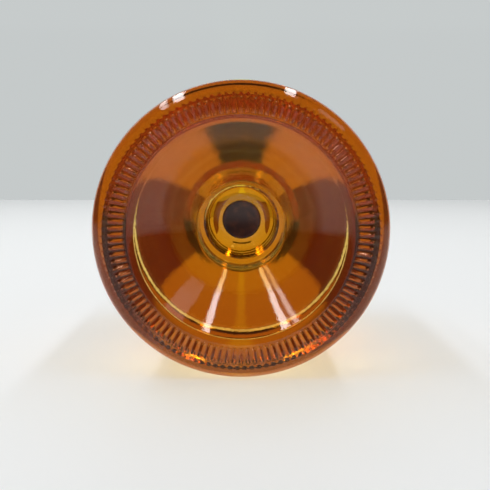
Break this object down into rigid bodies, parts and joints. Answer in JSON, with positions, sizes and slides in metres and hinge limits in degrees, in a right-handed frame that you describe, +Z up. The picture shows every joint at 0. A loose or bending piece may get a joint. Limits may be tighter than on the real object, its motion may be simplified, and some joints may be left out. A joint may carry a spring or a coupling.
{
  "type": "glass pin insulator",
  "caption": "Amber glass pin insulator in two parts, with a ridged base ring, a concave cone underneath, a stepped pin hole and a wire groove round the head.",
  "frame": {"origin": "on the pin axis, at the mouth of the threaded pin hole in the upper shell", "axes": "+Y along the pin axis from the open base to the crown, +Z up as the insulator lies on its side, +X to the right seen from the base"},
  "size_m": [0.095, 0.139, 0.095],
  "materials": {
    "amber_glass_upper": "fire-polished pressed glass",
    "amber_glass_lower": "fire-polished pressed glass",
    "seat_fibre": "vulcanised fibre, matt",
    "pitch": "glossy black pitch"
  },
  "bodies": {
    "upper": {"upper_shell": "amber_glass_upper", "seat_ring": "seat_fibre", "pin_pad": "pitch"},
    "lower": {"lower_shell": "amber_glass_lower"}
  },
  "joints": [
    {"name": "lower_turn", "type": "hinge", "parent": "upper", "child": "lower", "pos_m": [0, 0, 0], "axis": [0, 1, 0], "continuous": true}
  ]
}
